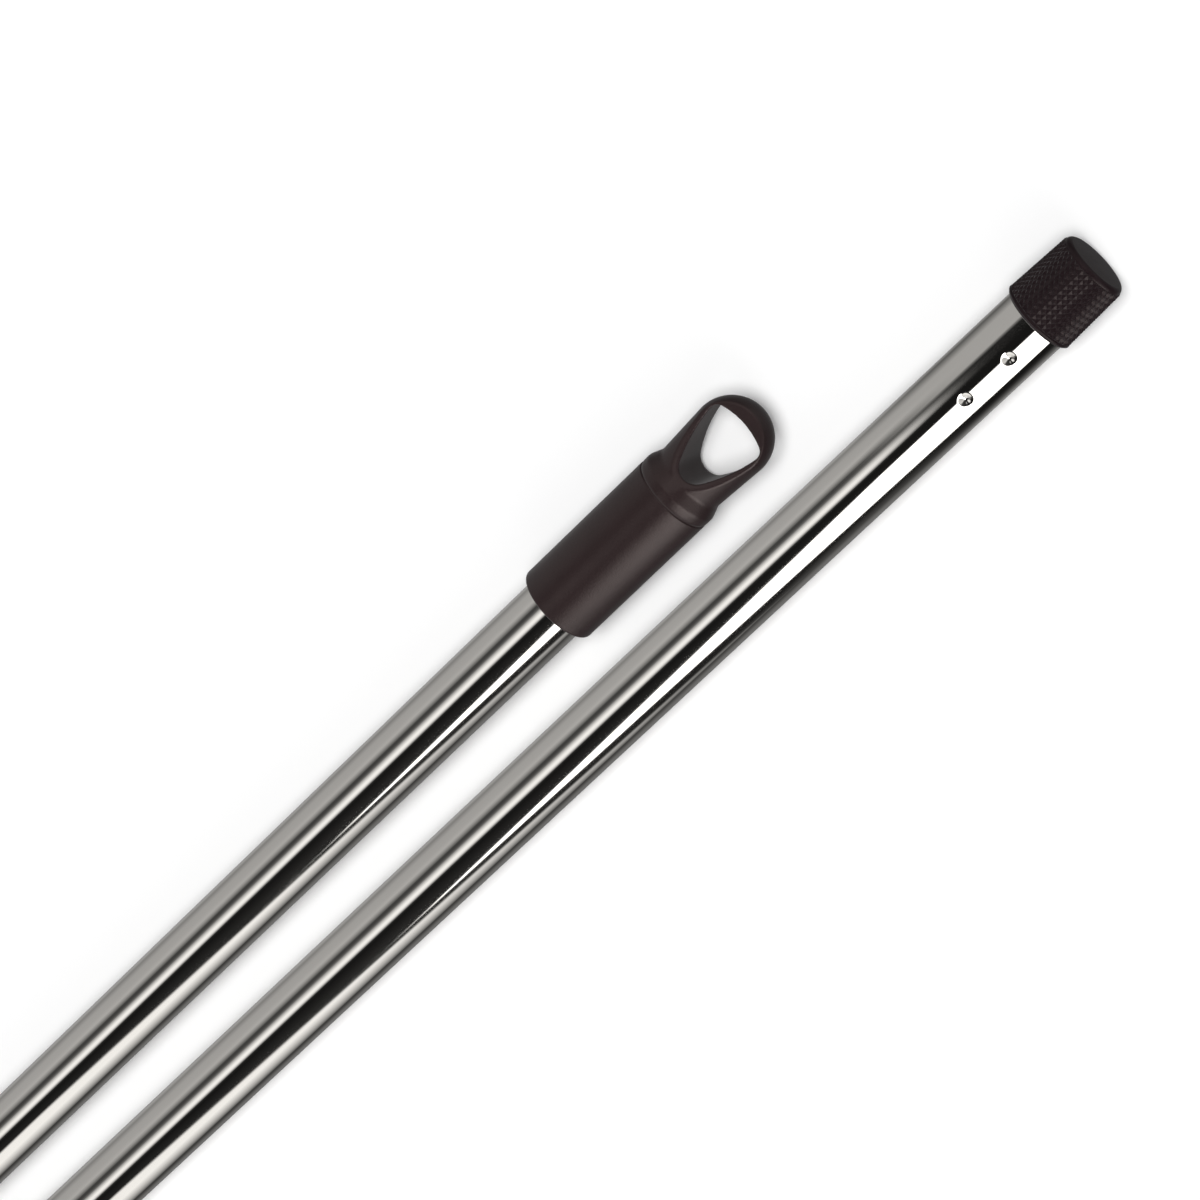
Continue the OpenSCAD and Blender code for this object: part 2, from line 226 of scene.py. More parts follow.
class CouplingSizes(PropertyGroup):
    plug_r: length("Spigot radius", "Radius of the spigot", 9.9)
    bore_r: length("Spigot bore", "Radius of the spigot's bore", 6.9)
    nose: length("Nose", "Bevel of the spigot's nose", 2)
    out_len: length("Spigot length", "Length of the spigot that enters the socket", 60)
    collar_r: length("Collar radius", "Radius of the collar", 12.5)
    collar_len: length("Collar length", "Length of the collar", 8)
    collar_bevel: length("Collar bevel", "Bevel of the collar's edges", 0.9)
    ferrule_r: length("Ferrule radius", "Outside radius of the ferrule", 13.8)
    sleeve_r: length("Ferrule bore", "Radius of the ferrule's bore round the tube", 11.05)
    lip_r: length("Lip bore", "Radius of the opening in the ferrule's lip", 10.1)
    lip: length("Lip", "Thickness of the ferrule's lip", 2.5)
    ferrule_round: length("Ferrule round", "Rounding of the ferrule's edges", 0.9)
    hole_d: length("Button hole", "Diameter of the hole for the button", 7.3)


class ButtonSizes(PropertyGroup):
    diameter: length("Diameter", "Diameter of the button", 7)
    dome: length("Dome", "Height of the domed top", 1.8)
    flange_w: length("Flange width", "Width of the flange round the button", 1.3)
    flange_t: length("Flange thickness", "Thickness of the flange", 1)
    edge: length("Edge", "Rounding where the dome meets the side", 0.3)
    spring_t: length("Spring thickness", "Thickness of the spring strip", 0.6)
    spring_w: length("Spring width", "Width of the spring strip", 5)
    spring_bend_r: length("Bend radius", "Mean radius of the spring's bend", 1.6)
    spring_edge: length("Spring edge", "Rounding of the strip's sheared edges", 0.12)


class Finishes(PropertyGroup):
    chrome: colour("Chrome", "Bright chrome plate", "cac7c2")
    bore: colour("Bore", "Unplated steel inside the tubes", "4c4844")
    bore_stain: colour("Stained bore", "Darker lines on the unplated steel", "332f2c")
    black: colour("Black moulding", "Black polypropylene", "1a1112")
    black_worn: colour("Rubbed black", "Black polypropylene where it is rubbed", "221819")
    # The tip's two colours are the cap's black painted darker: painted shade of the knurl's points shading
    # each other
    tip_black_with_painted_shade: colour("Tip", "Black polypropylene of the knurled tip", "10080b")
    tip_worn_with_painted_shade: colour("Rubbed tip", "Black polypropylene of the tip where it is rubbed", "180f12")
    black_sheen: colour("Black's sheen", "Warm tint of what the black polypropylene mirrors", "fff0ea")
    black_gloss: level("Gloss", "Specular level of the cap and the coupling", 0.38)
    tip_gloss: level("Tip gloss", "Specular level of the knurled tip", 0.2)
    steel: colour("Button steel", "Stainless steel of the button", "bcbbb8")
    spring: colour("Spring steel", "Rolled strip of the spring", "8d8c8a")


class StageSettings(PropertyGroup):
    camera_at: FloatVectorProperty(
        name="Camera place", description="Where the camera stands",
        default=(0.65465, -0.12145, 1.1251), subtype="XYZ", unit="LENGTH", precision=5)
    camera_azimuth: angle("Azimuth", "Side of the camera, from the poles' ends towards the outer side", -16)
    camera_elevation: angle("Elevation", "Height of the camera over the horizon", 66.813)
    camera_roll: angle("Roll", "Turn of the camera about its line of sight", -116.303)
    camera_lens: FloatProperty(
        name="Lens", description="Focal length in millimetres on a 36 mm sensor", default=116.4)
    floor_size: length("Floor", "Side of the floor", 60000)
    floor_colour: colour("Floor colour", "White paper", "f6f6f6")
    strip_light: level("Strip lights", "Level of the strip lights", 1.65)
    front_box: level("Front softbox", "Share of the strip lights' level", 2.9)
    rear_box: level("Rear softbox", "Share of the strip lights' level at its top", 0.9)
    rear_foot: level("Rear softbox's foot", "Share of the strip lights' level at its foot", 0.05)
    ends: level("Ends", "Share of the strip lights' level at the room's ends", 0.4)
    fill_light: level("Fill", "Level of the room's light on matt surfaces", 0.16)
    key_light: level("Key", "Level of the overhead lamp", 2.9)
    key_spread: angle("Key spread", "Angle that the overhead lamp covers", 34)
    key_side: angle("Key side", "Lean of the overhead lamp towards the tip's side", 3)
    key_end: angle("Key end", "Lean of the overhead lamp towards the tip's end", 10)


class PoleSettings(PropertyGroup):
    tube: PointerProperty(type=TubeSizes)
    tip: PointerProperty(type=TipSizes)
    cap: PointerProperty(type=CapSizes)
    coupling: PointerProperty(type=CouplingSizes)
    button: PointerProperty(type=ButtonSizes)
    finish: PointerProperty(type=Finishes)
    stage: PointerProperty(type=StageSettings)


def middle(node_name):
    """The middle of a node's box, which lies on the axis of a round node."""
    low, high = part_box(node_name)
    return (low + high) / 2


def axis_of(node_name):
    """The axis of a section's round node, as its point at X = 0."""
    centre = middle(node_name)
    return Vector((0, centre.y, centre.z))


def socket_hole_x(coupling):
    """Place of the socket's hole: as far from the ferrule's mouth as the button is from the collar."""
    collar_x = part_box("coupling_spigot")[0].x + coupling.out_len
    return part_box("socket_ferrule")[0].x + collar_x - middle("snap_button").x


def beside_hole(hole_x, coupling):
    """Places of the two rings that keep a drilled hole apart from the rest of a wall."""
    return hole_x - coupling.hole_d * BESIDE_HOLE, hole_x + coupling.hole_d * BESIDE_HOLE


def bare():
    """Leaves edit mode with nothing selected."""
    if bpy.context.mode != "OBJECT":
        bpy.ops.object.mode_set(mode="OBJECT")
    bpy.ops.object.select_all(action="DESELECT")


def take(piece):
    """Selects one piece alone and makes it the active one."""
    bare()
    piece.select_set(True)
    bpy.context.view_layer.objects.active = piece


def edit(piece, pick=None, kind="VERT"):
    """Opens a piece in edit mode with all of it selected, or only the elements that pick accepts."""
    take(piece)
    bpy.ops.object.mode_set(mode="EDIT")
    bpy.ops.mesh.select_mode(type=kind)
    bpy.ops.mesh.select_all(action="DESELECT" if pick else "SELECT")
    if pick:
        bpy.ops.object.mode_set(mode="OBJECT")
        mesh = piece.data
        for element in {"VERT": mesh.vertices, "EDGE": mesh.edges, "FACE": mesh.polygons}[kind]:
            element.select = pick(element)
        bpy.ops.object.mode_set(mode="EDIT")


def fresh(name):
    """Names the primitive that was just added and puts its place into its mesh."""
    piece = bpy.context.object
    piece.name = name
    piece.data.name = name
    bpy.ops.object.transform_apply(location=True, rotation=True, scale=True)
    return piece


def draw(name, points):
    """Draws a line through the points, vertex by vertex, and leaves it in edit mode."""
    bare()
    bpy.ops.mesh.primitive_plane_add(size=MM, location=points[0])
    piece = fresh(name)
    bpy.ops.object.mode_set(mode="EDIT")
    bpy.ops.mesh.select_mode(type="VERT")
    bpy.ops.mesh.select_all(action="SELECT")
    bpy.ops.mesh.merge(type="CENTER")
    for here, there in zip(points, points[1:]):
        bpy.ops.mesh.extrude_vertices_move(TRANSFORM_OT_translate={"value": there - here})
    return piece


def weld(piece):
    """Merges vertices that meet and turns all faces outwards."""
    edit(piece)
    bpy.ops.mesh.remove_doubles(threshold=WELD)
    bpy.ops.mesh.normals_make_consistent(inside=False)
    bpy.ops.object.mode_set(mode="OBJECT")


def lathe(name, outline, origin, sides, along=ALONG, out=UP):
    """Draws half a section from its (along, radius) points and spins it once round its axis."""
    piece = draw(name, [origin + along * x + out * r for x, r in outline])
    bpy.ops.mesh.select_all(action="SELECT")
    bpy.ops.mesh.spin(steps=sides, angle=math.tau, center=origin, axis=along)
    weld(piece)
    return piece


def corner(x, r, size, start, turn=90):
    """Points of a rounded corner of an outline: an arc about (x, r) from the start angle, in degrees."""
    steps = max(FEWEST_STEPS, math.ceil(math.radians(abs(turn)) * size / ROUND_STEP))
    turns = [math.radians(start + turn * i / steps) for i in range(steps + 1)]
    return [(x + size * math.cos(a), r + size * math.sin(a)) for a in turns]


def bow_centre(a, a_r, b, b_r, bow_r):
    """Centre of the arc that holds two smaller rounds and touches both, left of the way from a to b."""
    gap = (b - a).length
    way = (b - a) / gap
    along = ((bow_r - a_r) ** 2 - (bow_r - b_r) ** 2 + gap ** 2) / (2 * gap)
    off = math.sqrt((bow_r - a_r) ** 2 - along ** 2)
    return a + along * way + off * way.orthogonal()


def apply(piece, kind, **settings):
    """Adds a modifier with its settings and applies it."""
    take(piece)
    modifier = piece.modifiers.new(kind.title(), kind)
    for name, value in settings.items():
        setattr(modifier, name, value)
    bpy.ops.object.modifier_apply(modifier=modifier.name)


def combine(piece, operation, *others):
    """Cuts other bodies out of a piece, or unites them with it, and removes them."""
    for other in others:
        apply(piece, "BOOLEAN", operation=operation, solver="EXACT", object=other)
        take(other)
        bpy.ops.object.delete()


def join(piece, *others):
    """Joins other pieces into one."""
    take(piece)
    for other in others:
        other.select_set(True)
    bpy.ops.object.join()
    weld(piece)


def drill(piece, x, axis, diameter, reach):
    """Drills the button's hole from a section's axis upwards."""
    bare()
    bpy.ops.mesh.primitive_cylinder_add(
        vertices=HOLE_SIDES, radius=diameter / 2, depth=reach, location=(x, axis.y, axis.z + reach / 2))
    combine(piece, "DIFFERENCE", fresh("drill"))


def hand_over(piece, node_name, material):
    """Gives a finished piece its finish and its body, and hides the node that it stands for."""
    take(piece)
    bpy.ops.object.shade_smooth_by_angle(angle=SHARP)
    piece.data.materials.clear()
    piece.data.materials.append(material)
    # As in a cut-out product photograph, the chrome mirrors the studio and not the other pieces
    piece.visible_glossy = False
    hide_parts(node_name)
    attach(piece, BODY_OF[node_name])


def node(tree, kind, inputs=None, **settings):
    """Adds a shader node with its settings, and sets or links its inputs."""
    made = tree.nodes.new(kind)
    for name, value in settings.items():
        setattr(made, name, value)
    for socket, value in (inputs or {}).items():
        if isinstance(value, bpy.types.NodeSocket):
            tree.links.new(value, made.inputs[socket])
        else:
            made.inputs[socket].default_value = value
    return made


def surface(name, **constants):
    """A new material with its shader and output: the tree, the shader and Object coordinates."""
    material = bpy.data.materials.new(name)
    material.use_nodes = True
    tree = material.node_tree
    tree.nodes.clear()
    shader = node(tree, "ShaderNodeBsdfPrincipled", {k.replace("_", " "): v for k, v in constants.items()})
    node(tree, "ShaderNodeOutputMaterial", {"Surface": shader.outputs["BSDF"]})
    place = node(tree, "ShaderNodeTexCoord").outputs["Object"]
    return material, tree, shader, place


def opaque(rgb):
    """A property's colour with full alpha, as a socket takes it."""
    return (*rgb, 1)


def chrome_plate(finish):
    """Bright chrome on drawn steel tube: a clean mirror whose lines waver a little along the tube."""
    material, tree, shader, place = surface(
        "Chrome plate on drawn steel tube", Base_Color=opaque(finish.chrome), Metallic=1.0)
    # The draw leaves long shallow waves
    wave_len = 70 * MM
    wave_width = 9 * MM
    wave_depth = 0.012 * MM
    waves_at = node(tree, "ShaderNodeMapping", {
        "Vector": place, "Scale": (1 / wave_len, 1 / wave_width, 1 / wave_width)})
    waves = node(tree, "ShaderNodeTexNoise", {
        "Vector": waves_at.outputs["Vector"], "Scale": 1.0, "Detail": 1.0})
    dent = node(tree, "ShaderNodeBump", {"Height": waves.outputs["Fac"], "Distance": wave_depth})
    tree.links.new(dent.outputs["Normal"], shader.inputs["Normal"])
    # Handling leaves faint cloudy patches
    patch = 25 * MM
    patches_at = node(tree, "ShaderNodeMapping", {"Vector": place, "Scale": (1 / patch,) * 3})
    patches = node(tree, "ShaderNodeTexNoise", {
        "Vector": patches_at.outputs["Vector"], "Scale": 1.0, "Detail": 4.0})
    haze = node(tree, "ShaderNodeMapRange", {
        "Value": patches.outputs["Fac"], "To Min": 0.04, "To Max": 0.07})
    tree.links.new(haze.outputs["Result"], shader.inputs["Roughness"])
    return material


def drawn_steel(finish):
    """Drawn steel where the plating bath didn't reach: dull dark oxide in lines along the draw."""
    material, tree, shader, place = surface("Drawn steel, unplated", Specular_IOR_Level=0.3)
    line_len = 20 * MM
    line_width = 0.6 * MM
    at = node(tree, "ShaderNodeMapping", {
        "Vector": place, "Scale": (1 / line_len, 1 / line_width, 1 / line_width)})
    lines = node(tree, "ShaderNodeTexNoise", {"Vector": at.outputs["Vector"], "Scale": 1.0, "Detail": 3.0})
    tint = node(tree, "ShaderNodeMix", {
        "Factor": lines.outputs["Fac"], COLOUR_A: opaque(finish.bore), COLOUR_B: opaque(finish.bore_stain),
    }, data_type="RGBA")
    tree.links.new(tint.outputs[COLOUR], shader.inputs["Base Color"])
    dull = node(tree, "ShaderNodeMapRange", {
        "Value": lines.outputs["Fac"], "To Min": 0.55, "To Max": 0.75})
    tree.links.new(dull.outputs["Result"], shader.inputs["Roughness"])
    return material


def black_moulding(name, fresh_colour, worn_colour, sheen_colour, gloss):
    """Black polypropylene, moulded in a spark-eroded tool: a soft warm sheen over a fine even grain."""
    material, tree, shader, place = surface(
        name, Specular_IOR_Level=gloss, Specular_Tint=opaque(sheen_colour))
    # The grain is 0.15 mm on the real piece, and drawn coarser so that it shows
    grain_width = 0.5 * MM
    grain_depth = 0.06 * MM
    grain_at = node(tree, "ShaderNodeMapping", {"Vector": place, "Scale": (1 / grain_width,) * 3})
    grain = node(tree, "ShaderNodeTexNoise", {
        "Vector": grain_at.outputs["Vector"], "Scale": 1.0, "Detail": 2.0})
    pits = node(tree, "ShaderNodeBump", {
        "Height": grain.outputs["Fac"], "Distance": grain_depth, "Strength": 0.9})
    tree.links.new(pits.outputs["Normal"], shader.inputs["Normal"])
    # Rubbed patches are a shade lighter and smoother
    patch = 12 * MM
    rub_at = node(tree, "ShaderNodeMapping", {"Vector": place, "Scale": (1 / patch,) * 3})
    rub = node(tree, "ShaderNodeTexNoise", {"Vector": rub_at.outputs["Vector"], "Scale": 1.0, "Detail": 3.0})
    tint = node(tree, "ShaderNodeMix", {
        "Factor": rub.outputs["Fac"], COLOUR_A: opaque(fresh_colour), COLOUR_B: opaque(worn_colour),
    }, data_type="RGBA")
    tree.links.new(tint.outputs[COLOUR], shader.inputs["Base Color"])
    sheen = node(tree, "ShaderNodeMapRange", {
        "Value": rub.outputs["Fac"], "To Min": 0.42, "To Max": 0.34})
    tree.links.new(sheen.outputs["Result"], shader.inputs["Roughness"])
    return material


def turned_steel(finish, centre):
    """Stainless steel, turned and polished: fine rings round the button's axis."""
    material, tree, shader, place = surface(
        "Stainless steel, turned", Base_Color=opaque(finish.steel), Metallic=1.0)
    ring_width = 0.25 * MM
    ring_depth = 0.004 * MM
    at = node(tree, "ShaderNodeMapping", {
        "Vector": place, "Location": -centre / ring_width, "Scale": (1 / ring_width,) * 3})
    rings = node(tree, "ShaderNodeTexWave", {
        "Vector": at.outputs["Vector"], "Scale": RING_SCALE, "Distortion": 0.4,
    }, wave_type="RINGS", rings_direction="Z")
    marks = node(tree, "ShaderNodeBump", {
        "Height": rings.outputs["Fac"], "Distance": ring_depth, "Strength": 0.5})
    tree.links.new(marks.outputs["Normal"], shader.inputs["Normal"])
    sheen = node(tree, "ShaderNodeMapRange", {
        "Value": rings.outputs["Fac"], "To Min": 0.16, "To Max": 0.26})
    tree.links.new(sheen.outputs["Result"], shader.inputs["Roughness"])
    return material


def rolled_strip(finish):
    """Spring steel, rolled: fine lines along the strip and a dull grey sheen."""
    material, tree, shader, place = surface(
        "Spring steel, rolled strip", Base_Color=opaque(finish.spring), Metallic=1.0)
    line_len = 8 * MM
    line_width = 0.2 * MM
    line_depth = 0.004 * MM
    at = node(tree, "ShaderNodeMapping", {
        "Vector": place, "Scale": (1 / line_len, 1 / line_width, 1 / line_len)})
    lines = node(tree, "ShaderNodeTexNoise", {"Vector": at.outputs["Vector"], "Scale": 1.0, "Detail": 2.0})
    marks = node(tree, "ShaderNodeBump", {
        "Height": lines.outputs["Fac"], "Distance": line_depth, "Strength": 0.6})
    tree.links.new(marks.outputs["Normal"], shader.inputs["Normal"])
    sheen = node(tree, "ShaderNodeMapRange", {
        "Value": lines.outputs["Fac"], "To Min": 0.28, "To Max": 0.4})
    tree.links.new(sheen.outputs["Result"], shader.inputs["Roughness"])
    return material


def tube_outline(low, high, size, fine_places):
    """Half section of a tube between two ends, with rings at the fine places on its outer wall."""
    outer = size.diameter / 2
    inner = outer - size.wall
    edge = size.edge
    rings = [(x, outer) for x in fine_places]
    return [(low, inner), (low, outer - edge), (low + edge, outer), *rings, (high - edge, outer),
            (high, outer - edge), (high, inner), (low, inner)]


def punch(piece, centre, inwards, size):
    """Pushes a round dish into the wall from the vertex nearest to the centre."""
    nearest = min(piece.data.vertices, key=lambda v: (v.co - centre).length_squared).index
    edit(piece, lambda v: v.index == nearest)
    bpy.ops.transform.translate(
        value=inwards * size.dimple_depth, use_proportional_edit=True,
        proportional_edit_falloff="SMOOTH", proportional_size=size.dimple_d / 2)
    bare()


class POLE_OT_tubes(Operator):
    """Turns the two chromed tubes, punches the dimples of one and drills the other"""
    bl_idname = "pole.tubes"
    bl_label = "Chromed tubes"

    def execute(self, context):
        pole = context.scene.pole
        size = pole.tube
        finishes = chrome_plate(pole.finish), drawn_steel(pole.finish)
        self.head_tube(size, *finishes)
        self.butt_tube(size, pole.coupling, *finishes)
        return {"FINISHED"}

    def bare_bore(self, tube, axis, steel):
        """Gives the wall that faces the axis the finish of unplated steel."""
        tube.data.materials.append(steel)

        def faces_axis(face):
            """A face of the inner wall."""
            out = (face.center - axis) * (ACROSS + UP)
            return face.normal.dot(out.normalized()) < INWARD

        edit(tube, faces_axis, "FACE")
        tube.active_material_index = 1
        bpy.ops.object.material_slot_assign()
        bare()

    def head_tube(self, size, chrome, steel):
        """The head section's tube, with rows of dimples near both of its ends."""
        low, high = (point.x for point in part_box("head_tube"))
        axis = axis_of("head_tube")
        from_end = [size.dimple_first, size.dimple_first + size.dimple_step]
        places = [low + d for d in from_end] + [high - d for d in reversed(from_end)]
        # Rings closer than a tenth of a dimple let the dish come out round
        pitch = size.dimple_d / DIMPLE_RINGS
        rings = [x + i * pitch for x in places for i in range(-DIMPLE_REACH, DIMPLE_REACH + 1)]
        tube = lathe("head_tube_chromed", tube_outline(low, high, size, rings), axis, TUBE_SIDES)
        for x in places:
            for row in range(size.dimple_rows):
                turn = size.dimple_turn + row * math.tau / size.dimple_rows
                outwards = UP * math.cos(turn) - ACROSS * math.sin(turn)
                centre = axis + ALONG * x + outwards * size.diameter / 2
                punch(tube, centre, -outwards, size)
        hand_over(tube, "head_tube", chrome)
        self.bare_bore(tube, axis, steel)

    def butt_tube(self, size, coupling, chrome, steel):
        """The butt section's tube, drilled for the button."""
        low, high = (point.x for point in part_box("butt_tube"))
        axis = axis_of("butt_tube")
        hole_x = socket_hole_x(coupling)
        outline = tube_outline(low, high, size, beside_hole(hole_x, coupling))
        tube = lathe("butt_tube_chromed", outline, axis, TUBE_SIDES)
        drill(tube, hole_x, axis, coupling.hole_d, size.diameter)
        hand_over(tube, "butt_tube", chrome)
        self.bare_bore(tube, axis, steel)


class POLE_OT_tip(Operator):
    """Turns the moulded tip and raises a diamond knurl round it"""
    bl_idname = "pole.tip"
    bl_label = "Knurled tip"

    def execute(self, context):
        pole = context.scene.pole
        size = pole.tip
        axis = axis_of("head_tube")
        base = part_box("head_tube")[1].x
        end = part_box("knurled_tip")[1].x
        groove_base = size.base_r - size.knurl_h
        groove_end = size.end_r - size.knurl_h
        knurl_from = base + size.bevel + size.rim + size.knurl_h
        knurl_to = end - size.round
        core_r = size.shank_r - size.wall
        back = lathe("tip_knurled", [
            (end - size.wall, 0), (end - size.wall, core_r), (base - size.shank, core_r),
            (base - size.shank, size.shank_r), (base, size.shank_r), (base, size.base_r - size.bevel),
            (base + size.bevel, size.base_r), (base + size.bevel + size.rim, size.base_r),
            (knurl_from, groove_base),
        ], axis, size.knurl_count)
        front = lathe("tip_front", [
            *reversed(corner(knurl_to, groove_end - size.round, size.round, 0)), (end, 0),
        ], axis, size.knurl_count)
        band = self.knurl(size, axis, knurl_from, knurl_to, groove_base, groove_end)
        join(back, front, band)
        finish = pole.finish
        # The tip's black is painted darker than the cap's: painted shade for the knurl's points shading each
        # other
        black = black_moulding(
            "Black polypropylene, knurled, with painted shade",
            finish.tip_black_with_painted_shade, finish.tip_worn_with_painted_shade, finish.black_sheen, finish.tip_gloss)
        hand_over(back, "knurled_tip", black)
        return {"FINISHED"}

    def knurl(self, size, axis, low, high, low_r, high_r):
        """A tapered band of diamonds, each raised to a point."""
        bare()
        half_way = (low + high) / 2
        bpy.ops.mesh.primitive_cylinder_add(
            vertices=size.knurl_count, radius=low_r, depth=high - low, end_fill_type="NOTHING",
            rotation=(0, math.pi / 2, 0), location=axis + ALONG * half_way)
        band = fresh("knurl")
        edit(band, lambda v: v.co.x > half_way)
        taper = high_r / low_r
        bpy.ops.transform.resize(value=(1, taper, taper), center_override=axis + ALONG * high)
        # As many rows as make the diamonds as long as they are wide
        rows = round((high - low) * size.knurl_count / (math.pi * (low_r + high_r)))
        bare()
        places = [v.co.x for v in band.data.vertices]
        edit(band, lambda e: abs(places[e.vertices[0]] - places[e.vertices[1]]) > WELD, "EDGE")
        bpy.ops.mesh.subdivide(number_cuts=rows - 1)
        weld(band)
        corners = len(band.data.vertices)
        # Cells that are poked and then lose their old sides leave a net of diamonds
        edit(band)
        bpy.ops.mesh.poke()
        bare()
        places = [v.co.x for v in band.data.vertices]

        def old_side(e):
            """A side of the plain cells that isn't on the band's rims."""
            a, b = (places[i] for i in e.vertices)
            lengthwise = abs(a - b) > WELD
            off_rims = low + WELD < a < high - WELD
            return (lengthwise or off_rims) and max(e.vertices) < corners

        edit(band, old_side, "EDGE")
        bpy.ops.mesh.dissolve_edges(use_verts=False)
        edit(band)
        bpy.ops.mesh.poke(offset=size.knurl_h)
        bare()
        return band


class POLE_OT_cap(Operator):
    """Turns the hang cap's sleeve, and cuts its loop by two scoops and the eye"""
    bl_idname = "pole.cap"
    bl_label = "Hang cap"

    def execute(self, context):
        pole = context.scene.pole
        size = pole.cap
        axis = axis_of("butt_tube")
        mouth, end = (point.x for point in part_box("hang_cap"))
        cap = self.sleeve(size, axis, mouth)
        combine(cap, "UNION", self.loop(size, axis, mouth, end))
        # The union leaves slivers along its seam
        weld(cap)
        finish = pole.finish
        black = black_moulding(
            "Black polypropylene with a moulded grain",
            finish.black, finish.black_worn, finish.black_sheen, finish.black_gloss)
        hand_over(cap, "hang_cap", black)
        return {"FINISHED"}

    def sleeve(self, size, axis, mouth):
        """The sleeve from its rounded mouth to the bottom of the groove."""
        bore_end = mouth + size.sleeve - size.floor
        groove = mouth + size.sleeve - size.groove_back
        # The bore's edge is broken by a third of the mouth's rounding
        small = size.mouth_round / 3
        return lathe("cap_moulded", [
            (bore_end, 0), (bore_end, size.bore_r),
            (mouth + small, size.bore_r), (mouth, size.bore_r + small),
            *reversed(corner(mouth + size.mouth_round, size.radius - size.mouth_round, size.mouth_round, 90)),
            (groove - size.groove_w / 2, size.radius), (groove, size.radius - size.groove_w / 2), (groove, 0),
        ], axis, MOULDED_SIDES)

    def loop(self, size, axis, mouth, end):
        """The shoulder, waist and loop, cut and then softened as a moulding is."""
        groove = mouth + size.sleeve - size.groove_back
        ball = end - size.loop_r
        # A stub inside the sleeve lets the union overlap
        stub = 2 * size.groove_w
        loop = lathe("loop", [
            (groove - stub, 0), (groove - stub, size.radius - size.groove_w),
            (groove, size.radius - size.groove_w / 2), (groove + size.groove_w / 2, size.radius),
            (mouth + size.sleeve, size.radius), (mouth + size.sleeve + size.shoulder, size.waist_r),
            *reversed(corner(ball, 0, size.loop_r, 0)),
        ], axis, MOULDED_SIDES)
        scoops = [self.scoop(size, axis, end, face) for face in (-1, 1)]
        eye = self.eye(size, axis, mouth + size.sleeve + size.eye_start, end - size.eye_end_wall)
        combine(loop, "DIFFERENCE", *scoops, eye)
        take(loop)
        loop.data.remesh_voxel_size = size.grain
        bpy.ops.object.voxel_remesh()
        apply(loop, "SMOOTH", iterations=size.softening)
        return loop

    def scoop(self, size, axis, end, face):
        """The wide cutter of one face of the loop, lowest at the loop's end."""
        bare()
        height = face * (size.loop_t / 2 + size.scoop_r)
        bpy.ops.mesh.primitive_cylinder_add(
            vertices=SCOOP_SIDES, radius=size.scoop_r, depth=4 * size.radius,
            rotation=(math.pi / 2, 0, 0), location=axis + ALONG * end + UP * height)
        return fresh("scoop")

    def eye(self, size, axis, near, far):
        """The tall cutter of the eye: three round corners joined by bowed sides."""
        side = Vector((far - size.eye_side_r, 0))
        swing = size.eye_side_r - size.eye_corner_r
        lean = math.asin((size.loop_r - size.eye_arm - size.eye_corner_r) / swing)
        outer = side + swing * Vector((math.cos(lean), math.sin(lean)))
        point = Vector((near + size.eye_point_r, 0))
        flank = bow_centre(outer, size.eye_corner_r, point, size.eye_point_r, size.eye_flank_r)
        side_turn = math.degrees(lean)
        flank_from, flank_to = (math.degrees(math.atan2(*(at - flank).yx)) for at in (outer, point))
        upper = [
            *corner(*outer, size.eye_corner_r, side_turn, flank_from - side_turn),
            *corner(*flank, size.eye_flank_r, flank_from, flank_to - flank_from),
        ]
        outline = [
            *corner(*side, size.eye_side_r, -side_turn, 2 * side_turn), *upper,
            *corner(*point, size.eye_point_r, flank_to, 360 - 2 * flank_to),
            *((x, -y) for x, y in reversed(upper)),
        ]
        below = axis - UP * 2 * size.radius
        eye = draw("eye", [below + ALONG * x + ACROSS * y for x, y in outline])
        bpy.ops.mesh.select_all(action="SELECT")
        bpy.ops.mesh.remove_doubles(threshold=WELD)
        bpy.ops.mesh.edge_face_add()
        bpy.ops.mesh.extrude_region_move(TRANSFORM_OT_translate={"value": UP * 4 * size.radius})
        weld(eye)
        return eye


